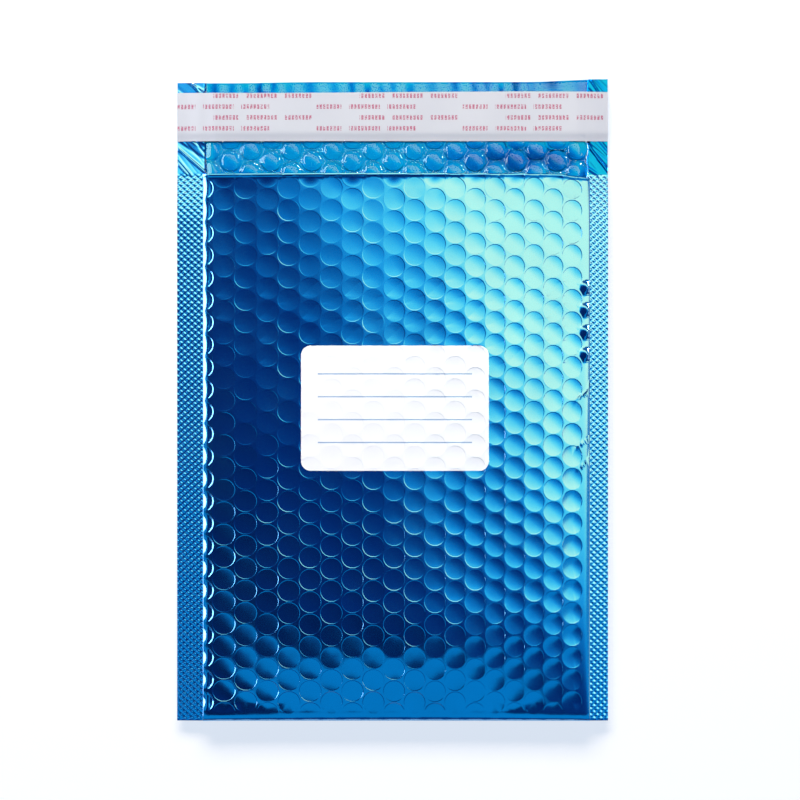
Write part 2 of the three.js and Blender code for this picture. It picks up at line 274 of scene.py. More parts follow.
def seal_middle(x, y):
    """Height of the welded seals: half way up the pocket, lower along the flap, drooping out."""
    towards_flap = ease((y - MOUTH + MOUTH_RUN) / (MOUTH_RUN + FLAP_RUN))
    height = (FOLD_HEIGHT + (WALL - FOLD_HEIGHT) * towards_flap) / 2
    return height + np.minimum(0, in_from_seal(x)) * SEAL_SLOPE


def crown_across(x):
    """Share of the crown at x: a parabola that is 1 in the middle and 0 at the seals."""
    return np.maximum(0, 1 - ((x - POCKET_MIDDLE) / POCKET_HALF) ** 2)


def front_height(x, y):
    """Front panel: a shoulder up from the seal, and a crown that falls to the fold."""
    low = seal_middle(x, y) + SEAL_THICKNESS / 2
    along = 1 - (1 - np.clip((y - FOLD_START) / FOLD_RUN, 0, 1)) ** 2
    return low + (FOLD_HEIGHT - low) * shoulder(x, y) + POCKET_RISE * crown_across(x) * along


def back_height(x, y):
    """Back panel: flat on the table, with an elliptic shoulder up to the seal's underside."""
    under = seal_middle(x, y) - SEAL_THICKNESS / 2
    return under * (1 - quarter(in_from_seal(x) / BACK_WALL_RUN))


def round_fold(x, turn):
    """Bottom fold, from the front (turn 0) to the back (turn 1).

    Its height is a cubic curve that leaves the front with the front's own slope. Its reach
    grows with the fifth power of the turn still to go, so the fold has a full, tight edge.
    """
    reach = FOLD_REACH * 4 / 3
    top = front_height(x, FOLD_START)
    under = back_height(x, FOLD_START)
    slope = 2 * POCKET_RISE / FOLD_RUN * crown_across(x)
    left = 1 - turn
    y = FOLD_START - FOLD_REACH * (1 - np.abs(1 - 2 * turn) ** 5)
    z = (
        left**3 * top
        + 3 * left**2 * turn * (top - slope * reach)
        + (3 * left * turn**2 + turn**3) * under
    )
    return y, z


def across(u, run, arc):
    """Place across the pocket for a length u along the film from the pocket's middle.

    The film is level up to the shoulder; there the length goes evenly round the ellipse.
    """
    level = POCKET_HALF - run
    turn = np.clip((np.abs(u) - level) / arc, 0, 1) * np.pi / 2
    return POCKET_MIDDLE + np.sign(u) * (np.minimum(np.abs(u), level) + run * np.sin(turn))


def front_sheet(u, v):
    """Front: u across, v from the mouth down the panel and on round the fold.

    The mouth's edge droops towards the right seal.
    """
    x = across(u, FRONT_WALL_RUN, FRONT_ARC)
    fold_y, fold_z = round_fold(x, np.clip((v - FRONT_LENGTH) / FOLD_ARC, 0, 1))
    on_panel = v <= FRONT_LENGTH
    y = np.where(on_panel, MOUTH - v, fold_y)
    z = np.where(on_panel, front_height(x, MOUTH - v), fold_z)
    at_mouth = ease((y - MOUTH + EDGE_DEPTH) / EDGE_DEPTH)
    droop = MOUTH_DROOP * ramp(x, 66, 16) * at_mouth
    return np.stack([x, y - droop, z], -1)


def back_sheet(u, v):
    """Back: u across, v from the end of the fold to the flap's edge; the fold is below 0."""
    x = across(u, BACK_WALL_RUN, BACK_ARC)
    fold_y, fold_z = round_fold(x, np.clip(1 + v / FOLD_ARC, 0, 1))
    on_panel = v >= 0
    y = np.where(on_panel, FOLD_START + v, fold_y)
    z = np.where(on_panel, back_height(x, FOLD_START + v), fold_z)
    return np.stack([x, y + flap_edge(x, y), z], -1)


def flap_edge(x, y):
    """How far the flap's edge stands out: low on the left, rising to the right corner."""
    left = FLAP_CORNERS[0] * ramp(-x, 30, 40)
    right = FLAP_CORNERS[1] * ramp(x, 55, 34)
    return (left + right) * ease((y - TOP + EDGE_DEPTH) / EDGE_DEPTH)


def outward(surface, u, v, step=0.05 * MM):
    """Outward normals: the cross product of a small step along v and one along u."""
    along_u = surface(u + step, v) - surface(u - step, v)
    along_v = surface(u, v + step) - surface(u, v - step)
    normal = np.cross(along_v, along_u)
    return normal / np.linalg.norm(normal, axis=-1, keepdims=True)


def raised(surface, u, v, height):
    """Points of a surface, moved along its outward normal by height."""
    return surface(u, v) + outward(surface, u, v) * np.asarray(height)[..., None]


# Flat patterns

def cell_pattern(radii, per_side):
    """A bubble's cell, centred on the bubble: rings inside a six-sided outline.

    The outline's corners are as far from this bubble as from the two neighbours beside them.
    """
    half = PITCH_Y / 2
    tip = (PITCH_X**2 + half**2) / (2 * PITCH_X)
    side = PITCH_X - tip
    corners = np.array(
        [[tip, 0], [side, half], [-side, half], [-tip, 0], [-side, -half], [side, -half]]
    )
    share = (np.arange(per_side) / per_side)[:, None]
    outline = corners[:, None] + share * (np.roll(corners, -1, 0) - corners)[:, None]
    outline = outline.reshape(-1, 2)
    direction = outline / np.linalg.norm(outline, axis=1, keepdims=True)
    points = np.concatenate([np.zeros((1, 2)), *[direction * r for r in radii], outline])
    count = len(outline)
    here = 1 + np.arange(count)
    after = 1 + (np.arange(count) + 1) % count
    triangles = [np.stack([np.zeros(count, int), here, after], 1)]
    for ring in range(len(radii)):
        a, b = here + ring * count, after + ring * count
        triangles.append(np.stack([a, a + count, b + count], 1))
        triangles.append(np.stack([a, b + count, b], 1))
    return points, np.concatenate(triangles)


def cut(points, triangles, axis, limit, keep=0):
    """Splits the triangles that cross a line of one axis, and keeps one side or both.

    A triangle with a corner on the line becomes two, any other that crosses it becomes three.
    Each new corner divides its edge as the two ends' distances from the line say.
    """
    points = points.copy()
    near = np.abs(points[:, axis] - limit) < 0.05 * MM
    points[near, axis] = limit
    past = points[:, axis] - limit
    sign = np.sign(past)[triangles]
    crossing = (sign.min(1) < 0) & (sign.max(1) > 0)
    crossed, sign = triangles[crossing], sign[crossing]
    touching = (sign == 0).any(1)
    alone = np.where(sign.sum(1) > 0, -1, 1)[:, None]
    first = np.where(touching, (sign == 0).argmax(1), (sign == alone).argmax(1))
    a, b, c = np.take_along_axis(crossed, (first[:, None] + np.arange(3)) % 3, 1).T
    t, n = touching, ~touching
    edges = np.concatenate([[b[t], c[t]], [a[n], b[n]], [a[n], c[n]]], 1).T
    ends, index = np.unique(np.sort(edges, 1), axis=0, return_inverse=True)
    share = past[ends[:, 0]] / (past[ends[:, 0]] - past[ends[:, 1]])
    added = points[ends[:, 0]] + share[:, None] * (points[ends[:, 1]] - points[ends[:, 0]])
    added[:, axis] = limit
    on_bc, on_ab, on_ac = np.split(
        index.reshape(-1) + len(points), [t.sum(), t.sum() + n.sum()]
    )
    parts = [
        triangles[~crossing].T,
        [a[t], b[t], on_bc],
        [a[t], on_bc, c[t]],
        [a[n], on_ab, on_ac],
        [on_ab, b[n], c[n]],
        [on_ab, c[n], on_ac],
    ]
    points = np.concatenate([points, added])
    triangles = np.concatenate(parts, 1).T
    if keep:
        side = points[triangles, axis].mean(1) - limit
        triangles = triangles[side * keep > 0]
    return points, triangles


def bubble_field(low, high, start, radii, per_side, scores=()):
    """Cells of bubbles that fill a rectangle, cut off at its sides and scored along lines.

    scores lists pairs of axis and place.
    """
    cell, cell_triangles = cell_pattern(radii, per_side)
    columns = np.arange((low[0] - start[0]) // PITCH_X - 1, (high[0] - start[0]) // PITCH_X + 3)
    rows = np.arange((low[1] - start[1]) // PITCH_Y - 1, (high[1] - start[1]) // PITCH_Y + 3)
    i, j = [grid.reshape(-1, 1) for grid in np.meshgrid(columns, rows)]
    x = start[0] + i * PITCH_X + cell[:, 0]
    y = start[1] + (j + (i % 2) / 2) * PITCH_Y + cell[:, 1]
    points = np.stack([x, y], -1).reshape(-1, 2)
    step = np.arange(len(i))[:, None, None] * len(cell)
    triangles = (cell_triangles + step).reshape(-1, 3)
    grain = 0.001 * MM
    _, first, index = np.unique(
        np.round(points / grain), axis=0, return_index=True, return_inverse=True
    )
    points, triangles = points[first], index.reshape(-1)[triangles]
    for axis in (0, 1):
        points, triangles = cut(points, triangles, axis, low[axis], 1)
        points, triangles = cut(points, triangles, axis, high[axis], -1)
    for axis, place in scores:
        points, triangles = cut(points, triangles, axis, place)
    used, index = np.unique(triangles, return_inverse=True)
    return points[used], index.reshape(-1, 3)


def grid_field(low, high, step):
    """A plain grid of triangles over a rectangle."""
    u, v = [np.linspace(a, b, max(2, round((b - a) / s) + 1)) for a, b, s in zip(low, high, step)]
    points = np.stack(np.meshgrid(u, v), -1).reshape(-1, 2)
    corner = (np.arange(len(v) - 1)[:, None] * len(u) + np.arange(len(u) - 1)).reshape(-1)
    a, b, c, d = corner, corner + 1, corner + len(u), corner + len(u) + 1
    return points, np.concatenate([np.stack([a, b, d], 1), np.stack([a, d, c], 1)])


def nearest_bubble(u, v, start):
    """Distance and offset from the nearest bubble's centre, and its column and row.

    The nearest centre lies in the point's own column or in one beside it.
    """
    own = np.round((u - start[0]) / PITCH_X)
    best = [np.full_like(u, np.inf)] + [np.zeros_like(u)] * 4
    for column in (own - 1, own, own + 1):
        first = start[1] + (column % 2) / 2 * PITCH_Y
        row = np.round((v - first) / PITCH_Y)
        du = u - start[0] - column * PITCH_X
        dv = v - first - row * PITCH_Y
        found = [np.hypot(du, dv), du, dv, column, row]
        nearer = found[0] < best[0]
        best = [np.where(nearer, new, old) for new, old in zip(found, best)]
    return best


# Meshes

def put(name, data):
    """A new object with that mesh, light or camera, in the scene."""
    made = bpy.data.objects.new(name, data)
    bpy.context.scene.collection.objects.link(made)
    return made


def new_piece(name, points, faces, materials):
    """A new mesh object of points and triangles, with its materials."""
    mesh = bpy.data.meshes.new(name)
    mesh.from_pydata(points.tolist(), [], faces.tolist())
    for material in materials:
        mesh.materials.append(material)
    return put(name, mesh)


def sheet_faces(triangles, count):
    """Outer side, inner side turned over, and the rim along the edges that are used once."""
    edges = np.concatenate([triangles[:, [0, 1]], triangles[:, [1, 2]], triangles[:, [2, 0]]])
    _, first, uses = np.unique(np.sort(edges, 1), axis=0, return_index=True, return_counts=True)
    a, b = edges[first[uses == 1]].T
    rim = np.concatenate([[b, a, a + count], [b, a + count, b + count]], 1).T
    return triangles, triangles[:, ::-1] + count, rim


def closed_sheet(name, triangles, outer, inner, materials, normals=None):
    """A thin closed body between two sets of points with the same pattern.

    The second material, if any, is the inner side's. The faces are turned over if the volume
    that they enclose is negative. Normals, if given, are the true ones of the outer side.
    """
    outside, inside, rim = sheet_faces(triangles, len(outer))
    points = np.concatenate([outer, inner])
    faces = np.concatenate([outside, inside, rim])
    a, b, c = points[faces].transpose(1, 0, 2)
    if np.einsum("ij,ij->", a, np.cross(b, c)) < 0:
        faces = faces[:, ::-1]
    piece = new_piece(name, points, faces, materials)
    mesh = piece.data
    side = np.zeros(len(faces), np.int32)
    side[len(outside) : len(outside) + len(inside)] = len(materials) - 1
    mesh.polygons.foreach_set("material_index", side)
    mesh.shade_smooth()
    if normals is None:
        mesh.set_sharp_from_angle(angle=np.radians(75))
    else:
        mesh.normals_split_custom_set_from_vertices(np.concatenate([normals, -normals]))
    return piece


def dress(piece, nodes):
    """Puts a piece on the one body, in the place of its nodes."""
    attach(piece, "root")
    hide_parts(*nodes)


# Skin

def dimples(film, u, v, start, columns=(-np.inf, np.inf)):
    """Depth of the skin's dimples, as a height below 0.

    A dimple's floor is a shallow dish, deepest in the middle; a smooth step over the rim
    brings it up to the web. Dimples are deeper and lean a little on the right, and on the left
    they get deeper low down. Each one is also a little deeper or flatter than the next and
    leans its own way, and so does each column. Before the first of the columns they are deeper
    again and fade out on the shoulder, and after the last one there are none.
    """
    first, last = columns
    distance, du, dv, column, row = nearest_bubble(u, v, start)
    rim = np.where(column < first, EDGE_RIM, film.dimple_rim)
    floor_radius = film.dimple_radius - rim
    inside = 1 - ease((distance - floor_radius) / rim)
    right = ramp(u, -15, 70)
    low_down = ramp(v, 95, 70)
    deeper = 0.75 + right
    lower_left = 0.03 * MM * (1 - right) * (2.2 * low_down - 0.5)
    depth = film.dimple_depth * deeper * (0.94 + 0.12 * chance(column, row, 1)) + lower_left
    dish = film.dimple_dish * deeper * np.minimum(distance / floor_radius, 1) ** 2
    column_lean = COLUMN_LEAN * (chance(column, 0, 7) - 0.5 - right)
    lean_u = LEAN * (chance(column, row, 2) - 0.5) + column_lean
    lean_v = LEAN * (chance(column, row, 3) - 0.5) + COLUMN_LEAN * right
    off_shoulder = ramp(u + FRONT_HALF - FRONT_ARC + ROUND_RUN, 0, 1.4)
    pressed = dish + lean_u * du + lean_v * dv - depth
    pressed = np.where(column < first, (pressed - EDGE_DEEPER) * off_shoulder, pressed)
    return np.where(column <= last, inside * pressed, 0)


def puckers(u, v):
    """Pillows between the last dimples and the right seal, whose flanks face the lower left.

    Each is a tilted plane, where that lies above 0, faded out towards a slanting ellipse.
    """
    du = u - FRONT_START[0] - (FRONT_COLUMNS[1] + 1) * PITCH_X + PUCKER_OFFSET
    row = np.round((v - FRONT_START[1]) / PITCH_Y)
    dv = v - FRONT_START[1] - row * PITCH_Y
    half_width = PUCKER_HALF * (1.05 + 0.2 * chance(row, 3, 8))
    reach = np.hypot((du + 0.4 * dv) / half_width, dv / PUCKER_HALF)
    inside = 1 - ease((reach - 0.3) / 0.7)
    height = np.maximum(0, PUCKER_SLOPES[0] * (du + 1.8 * MM) + PUCKER_SLOPES[1] * dv)
    in_rows = (row >= PUCKER_ROWS[0]) & (row <= PUCKER_ROWS[1])
    return np.where(in_rows, height * inside, 0)


def crease(u, v, start, end, width, height):
    """A ridge with a bell-shaped section along a line, fading out at both ends."""
    line = np.subtract(end, start)
    length = np.hypot(*line)
    along = ((u - start[0]) * line[0] + (v - start[1]) * line[1]) / length**2
    off = ((u - start[0]) * line[1] - (v - start[1]) * line[0]) / length
    return height * np.exp(-((off / width) ** 2)) * ease(4 * along) * ease(4 * (1 - along))


def front_relief(film, u, v):
    """Everything that moves the front's film off its smooth surface.

    Near the fold the dimples are deeper on the left and flatter on the right, and they fade
    out on the fold. The slack is a sum of broad sines. The last of the mouth's edge curls up.
    """
    near_fold = ramp(v - FRONT_LENGTH, -24, 16)
    fade = 1 + near_fold * (0.5 - 0.8 * ramp(u, -10, 50))
    fade = fade * (1 - ramp(v - FRONT_LENGTH, -4, 5))
    waves = np.sin(u / (19 * MM) + 1.1) * np.sin(v / (27 * MM) + 0.4)
    waves = waves + 0.6 * np.sin(u / (9.5 * MM) - v / (33 * MM))
    calm = ramp(v, 0, 8) * ramp(FRONT_HALF - np.abs(u), 0, 12) * fade
    lip = 0.33 * np.clip(1.5 * MM - v, 0, 1.1 * MM) - 0.2 * np.maximum(0, 0.4 * MM - v)
    pressed = dimples(film, u, v, FRONT_START, FRONT_COLUMNS) * fade + puckers(u, v)
    for start, end, width, height in FRONT_CREASES:
        pressed = pressed + crease(u, v, start, end, width, height)
    return pressed + film.slack * waves * calm + lip


def skin_rings(film):
    """Radii of a dimple's floor, of the middle of its rim and of its outer edge."""
    return [film.dimple_radius - film.dimple_rim * share for share in (1, 0.5, 0)]


def shoulder_lines(half, arc, turns):
    """Score lines along both shoulders, at shares of the arc in from the seal."""
    places = [half - turn * arc for turn in turns]
    return [(0, side * place) for place in places for side in (1, -1)]


def front_film(film, materials):
    """Front skin, from the mouth to half way round the bottom fold.

    It is scored across the curled edge and the fold, along the shoulders and over the puckers.
    """
    end = FRONT_LENGTH + FOLD_ARC / 2
    scores = [(1, v * MM) for v in (0.2, 0.4, 0.95, 1.5)]
    scores += [(1, FRONT_LENGTH + v * FOLD_ARC / 2) for v in (0, 0.2, 0.4, 0.6, 0.8)]
    scores += shoulder_lines(FRONT_HALF, FRONT_ARC, (0.12, 0.27, 0.4, 0.6, 0.8, 1))
    scores += [(0, FRONT_HALF - inside * MM) for inside in (6.8, 8.1, 9.4)]
    for row in range(PUCKER_ROWS[0], PUCKER_ROWS[1] + 1):
        scores += [(1, FRONT_START[1] + row * PITCH_Y + off * MM) for off in (-3, 0, 3)]
    flat, triangles = bubble_field(
        (-FRONT_HALF, 0), (FRONT_HALF, end), FRONT_START, skin_rings(film), 3, scores
    )

    def skin(u, v, under=0):
        warped = u + FRONT_WARP * (1 - (u / FRONT_HALF) ** 2)
        return raised(front_sheet, warped, v, front_relief(film, u, v) - under)

    u, v = flat.T
    normals = outward(skin, u, v, 0.03 * MM)
    inner = skin(u, v, film.film_thickness)
    piece = closed_sheet("front_film", triangles, skin(u, v), inner, materials, normals)
    dress(piece, ["outer_film"])


def back_film(film, materials):
    """Back skin and flap, from half way round the bottom fold to the flap's edge."""
    scores = [(1, v * FOLD_ARC / 2) for v in (-0.8, -0.6, -0.4, -0.2, 0)]
    scores += shoulder_lines(BACK_HALF, BACK_ARC, (0.25, 0.5, 1))
    low, high = (-BACK_HALF, -FOLD_ARC / 2), (BACK_HALF, BACK_LENGTH)
    flat, triangles = bubble_field(low, high, BACK_START, skin_rings(film), 3, scores)

    def skin(u, v, under=0):
        edge = ramp(v - BACK_LENGTH, -10, 3)
        calm = ramp(v, -4, 14) * (1 - edge)
        on_flap = ramp(v - FRONT_LENGTH, 0, 6)
        calm = calm * (1 - on_flap * (0.7 - 0.3 * ramp(u, -20, 60)))
        relief = dimples(film, u, v, BACK_START) * calm + streaks(u, v) * edge
        return raised(back_sheet, u, v, relief - flap_wave(u, v) - under)

    u, v = flat.T
    normals = outward(skin, u, v, 0.03 * MM)
    inner = skin(u, v, film.film_thickness)
    piece = closed_sheet("back_film", triangles, skin(u, v), inner, materials, normals)
    dress(piece, ["outer_film"])


def flap_wave(u, v):
    """Broad wave of the flap off the table: 1 plus a sine on the right, 1 less it on the left."""
    past_mouth = v - FRONT_LENGTH
    turn = np.sin(2 * np.pi * (past_mouth - 7 * MM) / WAVE_LENGTH)
    right = WAVE_RIGHT * ramp(u, 0, 60)
    left = WAVE_LEFT * (1 - ramp(u, -70, 70))
    beside = ramp(BACK_HALF - np.abs(u), 0, 9) * ramp(past_mouth, -5, 5)
    return (right * (1 + turn) + left * (1 - turn)) * beside


def streaks(u, v):
    """Waves inwards at the flap's edge: a product of two sines, less 1.

    The first sine's own place swings, so that its waves are uneven.
    """
    place = u / (1.4 * MM) + 2.2 * np.sin(u / (8 * MM) + 1)
    return STREAK * (np.sin(place) * np.sin(u / (6.5 * MM) + v / (9 * MM)) - 1)


def flap_creases(x, y, side):
    """Creases that run down to the right from the flap's side edge and fade out inwards.

    Each is a bell-shaped ridge or groove along its own slanting line.
    """
    rng = np.random.default_rng(12 + side)
    height = np.zeros_like(x)
    for place in np.linspace(MOUTH - 2 * MM, TOP + 8 * MM, 24):
        lean = rng.uniform(0.6, 1.4)
        width = rng.uniform(0.3, 0.9) * MM
        line = lean * (x - side * SIDE) + (y - place) + rng.normal(0, 1.5 * MM)
        height += rng.uniform(-0.1, 0.2) * MM * np.exp(-((line / width) ** 2))
    strength = 2.1 + 0.3 * side
    return height * strength * (1 - ramp(SIDE - side * x, 8, 12))


# Seals

def knurl(film, x, y):
    """Pressed pattern of small pyramids: the lower one of two sets of triangle waves."""
    along = y / film.knurl_y
    side = x / (2 * film.knurl_x)
    falling = np.abs(2 * ((along + side) % 1) - 1)
    rising = np.abs(2 * ((along - side) % 1) - 1)
    return film.knurl_depth * (2 * np.minimum(falling, rising) - 1)


def seal(film, name, x_outer, x_inner, materials):
    """One welded side seam: knurled beside the pocket, smooth with creases beside the flap."""
    low, high = min(x_outer, x_inner), max(x_outer, x_inner)
    flat, triangles = grid_field((low, BOTTOM), (high, TOP), (0.29 * MM, 0.3 * MM))
    x, y = flat.T
    body = 1 - ramp(y - MOUTH, -1, 2)
    end = quarter((y - BOTTOM) / (0.8 * MM))
    pressed = knurl(film, x, y) * body * end
    creases = flap_creases(x, y, -1 if x_outer < 0 else 1)
    height = seal_middle(x, y) + pressed + creases * (1 - body)
    half = SEAL_THICKNESS / 2 * end
    sides = [np.stack([x, y + flap_edge(x, y), z], -1) for z in (height + half, height - half)]
    piece = closed_sheet(name, triangles, *sides, materials)
    dress(piece, ["outer_film"])


# Bubble film

def bubbles(film, u, v, start):
    """Height of the clear bubbles over their web: the root of 1 - (r / radius)^3.

    Some are fuller than others, and each leans its own way.
    """
    distance, du, dv, column, row = nearest_bubble(u, v, start)
    share = np.minimum(distance / film.bubble_radius, 1)
    dome = np.sqrt(1 - share**3)
    fill = 0.75 + 0.25 * chance(column, row, 4) - 0.2 * ramp(u, 0, 60)
    lean = 0.12 * ((chance(column, row, 5) - 0.5) * du + (chance(column, row, 6) - 0.5) * dv)
    return dome * (fill + lean / (4 * MM))


def lining(film, name, sheet, half, length, start, rings, materials):
    """Bubble film inside one skin: a thin hollow film with its bubbles inwards.

    The rings are shares of a bubble's radius at which its dome has corners.
    """
    radii = [film.bubble_radius * share for share in rings]
    low, high = (-half + LINING_INSET, 0), (half - LINING_INSET, length - LINING_SHORT)
    flat, triangles = bubble_field(low, high, start, radii, 3)

    def skin(u, v, under=0):
        room = ramp(half - np.abs(u), 0, 7)
        flat_end = ramp(v - length, -9, 3)
        high = BUBBLE_HEIGHT * bubbles(film, u, v, start) * room * (1 - flat_end)
        base = (SKIN_DEPTH + CLEAR) * (0.45 + 0.55 * room)
        return raised(sheet, u, v, streaks(u, v) * flat_end - base - high - under)

    u, v = flat.T
    normals = outward(skin, u, v, 0.03 * MM)
    outer = skin(u, v, -film.bubble_thickness)
    piece = closed_sheet(name, triangles, outer, skin(u, v), materials, normals)
    dress(piece, ["bubble_lining"])


# Closing strip

def flap_cover(x, y):
    """Top of the flap that the closing strip lies on: bubble tops, then the seals."""
    low = seal_middle(x, y) + SEAL_THICKNESS / 2
    return low + CLEAR + (WALL - low) * ease(in_from_seal(x) / COVER_RUN)


def release_liner(materials):
    """Peel-off liner: a thin strip that waves a little over the bubbles under it.

    It stands higher beside the seals, its lower edge bends down and its upper edge sways.
    """
    low, high = LINER_LOW.xy, LINER_HIGH.xy
    flat, triangles = grid_field(low, high, (0.9 * MM, 0.8 * MM))
    x, y = flat.T
    waves = np.sin(x / (7.1 * MM)) * np.sin(y / (5 * MM) + 1) + np.sin(x / (17 * MM) + 2)
    beside_seal = ramp(in_from_seal(x), -8, 8) * (1 - ramp(in_from_seal(x), 0, 6))
    top = flap_cover(x, y) + LINER_RISE + LINER_WAVE * waves + LINER_BRIDGE * beside_seal
    top = top - LINER_BEND * ramp(low[1] - y, -4, 4)
    edge = LINER_SWAY * np.sin(x / (37 * MM)) * ease((y - low[1]) / (high[1] - low[1]))
    sides = [np.stack([x, y + edge, z], -1) for z in (top, top - LINER_THICKNESS)]
    piece = closed_sheet("release_liner_film", triangles, *sides, materials)
    dress(piece, ["release_liner"])


# Finishes

def feed(tree, node, inputs):
    """Fills a node's inputs. Each value is a number, a colour or another node's output."""
    for socket, value in inputs.items():
        if isinstance(value, bpy.types.NodeSocket):
            tree.links.new(value, node.inputs[socket])
        else:
            node.inputs[socket].default_value = value


def add(tree, kind, inputs=None, **settings):
    """Adds a node with its settings and inputs."""
    made = tree.nodes.new(kind)
    for name, value in settings.items():
        setattr(made, name, value)
    feed(tree, made, inputs or {})
    return made


def math(tree, operation, *values):
    """Output of one Math node."""
    return add(tree, "ShaderNodeMath", dict(enumerate(values)), operation=operation).outputs[0]


def vector(tree, operation, *values):
    """Output of one Vector Math node."""
    made = add(tree, "ShaderNodeVectorMath", dict(enumerate(values)), operation=operation)
    return made.outputs["Value" if operation in ("LENGTH", "DOT_PRODUCT") else "Vector"]


def mix(tree, factor, a, b):
    """Output of one node that mixes two colours."""
    a, b = [c if isinstance(c, bpy.types.NodeSocket) else (*c, 1) for c in (a, b)]
    return add(tree, "ShaderNodeMix", {0: factor, 6: a, 7: b}, data_type="RGBA").outputs[2]


def share_between(tree, value, low, high):
    """How far a value is from low to high: 0 up to low and 1 from high on."""
    inputs = {"Value": value, "From Min": low, "From Max": high}
    return add(tree, "ShaderNodeMapRange", inputs).outputs[0]


def near(tree, value, middle, reach):
    """1 where a value is less than the reach away from the middle."""
    away = math(tree, "ABSOLUTE", math(tree, "SUBTRACT", value, middle))
    return math(tree, "LESS_THAN", away, reach)


def all_of(tree, *masks):
    """Product of masks: 1 where every one of them is 1."""
    product = masks[0]
    for mask in masks[1:]:
        product = math(tree, "MULTIPLY", product, mask)
    return product


def object_place(tree):
    """Place on the piece, whole and along X and Y."""
    place = add(tree, "ShaderNodeTexCoord").outputs["Object"]
    parts = add(tree, "ShaderNodeSeparateXYZ", {0: place})
    return place, parts.outputs[0], parts.outputs[1]


def darker(colour, share):
    """A colour times a share."""
    return tuple(c * share for c in colour)


def new_group(name, inputs, outputs):
    """An empty node group with number inputs and outputs, and its two end nodes."""
    tree = bpy.data.node_groups.new(name, "ShaderNodeTree")
    for socket, value in inputs.items():
        made = tree.interface.new_socket(socket, in_out="INPUT", socket_type="NodeSocketFloat")
        made.default_value = value
    for socket in outputs:
        tree.interface.new_socket(socket, in_out="OUTPUT", socket_type="NodeSocketFloat")
    return tree, tree.nodes.new("NodeGroupInput"), tree.nodes.new("NodeGroupOutput")


def film_grain_group():
    """Film surface: broad clouds for tint and gloss, and a fine grain for bump."""
    name = "film_grain"
    if name in bpy.data.node_groups:
        return bpy.data.node_groups[name]
    tree, start, end = new_group(name, {"Clouds": 60, "Grain": 1500}, ["Clouds", "Grain"])
    place = add(tree, "ShaderNodeTexCoord").outputs["Object"]
    for socket, detail in (("Clouds", 3), ("Grain", 2)):
        inputs = {"Vector": place, "Scale": start.outputs[socket], "Detail": detail}
        noise = add(tree, "ShaderNodeTexNoise", inputs)
        tree.links.new(noise.outputs["Fac"], end.inputs[socket])
    return tree


def new_material(name):
    """An empty material and its tree."""
    material = bpy.data.materials.new(name)
    material.use_nodes = True
    return material, material.node_tree


def grained_material(name, clouds, grain, strength, distance):
    """A material with a bump of film grain, its tree, its shader and the grain's clouds."""
    material, tree = new_material(name)
    sizes = {"Clouds": clouds, "Grain": grain}
    surface = add(tree, "ShaderNodeGroup", sizes, node_tree=film_grain_group())
    height = surface.outputs["Grain"]
    inputs = {"Height": height, "Strength": strength, "Distance": distance}
    bump = add(tree, "ShaderNodeBump", inputs)
    shader = tree.nodes["Principled BSDF"]
    tree.links.new(bump.outputs["Normal"], shader.inputs["Normal"])
    return material, tree, shader, surface.outputs["Clouds"]


def field_mask(tree):
    """1 inside a rounded rectangle on the front, and the place across and along it.

    The rounding is the distance from a smaller rectangle, less than the corner's radius.
    """
    place = add(tree, "ShaderNodeTexCoord").outputs["Object"]
    flat = vector(tree, "MULTIPLY", vector(tree, "SUBTRACT", place, FIELD_MIDDLE), (1, 1, 0))
    inner = FIELD_HALF - Vector((FIELD_CORNER, FIELD_CORNER, 0))
    past = vector(tree, "SUBTRACT", vector(tree, "ABSOLUTE", flat), inner)
    distance = vector(tree, "LENGTH", vector(tree, "MAXIMUM", past, (0, 0, 0)))
    parts = add(tree, "ShaderNodeSeparateXYZ", {0: flat})
    mask = math(tree, "LESS_THAN", distance, FIELD_CORNER)
    return mask, parts.outputs[0], parts.outputs[1]


def field_lines(tree, x, y):
    """1 on the lines of the address field, halfway between the steps of their pitch."""
    row = math(tree, "FRACT", math(tree, "DIVIDE", y, LINE_PITCH))
    in_reach = near(tree, x, 0, LINE_REACH[0]), near(tree, y, 0, LINE_REACH[1])
    return all_of(tree, near(tree, row, 0.5, LINE_SHARE / 2), *in_reach)


def film_material(finish, name, colour, roughness, coat=0.8, printed=False, seam=False):
    """Metallised film: mirror-like and tinted, outside with a clear skin over the metal.

    A seam shows the film's inside beyond the mouth. Printed film has the address field.
    """
    material, tree, shader, clouds = grained_material(name, 55, 1400, 0.12, 0.02 * MM)
    tint = mix(tree, clouds, colour, darker(colour, 0.86))
    rough = math(tree, "MULTIPLY_ADD", clouds, 0.08, roughness - 0.04)
    feed(tree, shader, {"Metallic": 1, "Coat Weight": coat, "Coat Roughness": 0.06})
    if seam:
        outside = math(tree, "LESS_THAN", object_place(tree)[2], MOUTH)
        tint = mix(tree, outside, finish.film_inside, tint)
        feed(tree, shader, {"Coat Weight": math(tree, "MULTIPLY", outside, coat)})
    if printed:
        mask, x, y = field_mask(tree)
        ink = mix(tree, field_lines(tree, x, y), finish.field, LINE_COLOUR)
        tint = mix(tree, mask, tint, ink)
        rough = math(tree, "MULTIPLY_ADD", mask, 0.2, rough)
        feed(tree, shader, {"Metallic": math(tree, "SUBTRACT", 1, mask)})
    feed(tree, shader, {"Base Color": tint, "Roughness": rough})
    return material


def bubble_material(finish):
    """Clear thin film, tinted a faint blue."""
    name = "clear_bubble_film"
    material, tree, shader, clouds = grained_material(name, 120, 900, 0.1, 0.03 * MM)
    rough = math(tree, "MULTIPLY_ADD", clouds, 0.04, 0.01)
    feed(tree, shader, {"Base Color": (*finish.bubble, 1), "Roughness": rough})
    feed(tree, shader, {"IOR": 1.26, "Transmission Weight": 1})
    return material


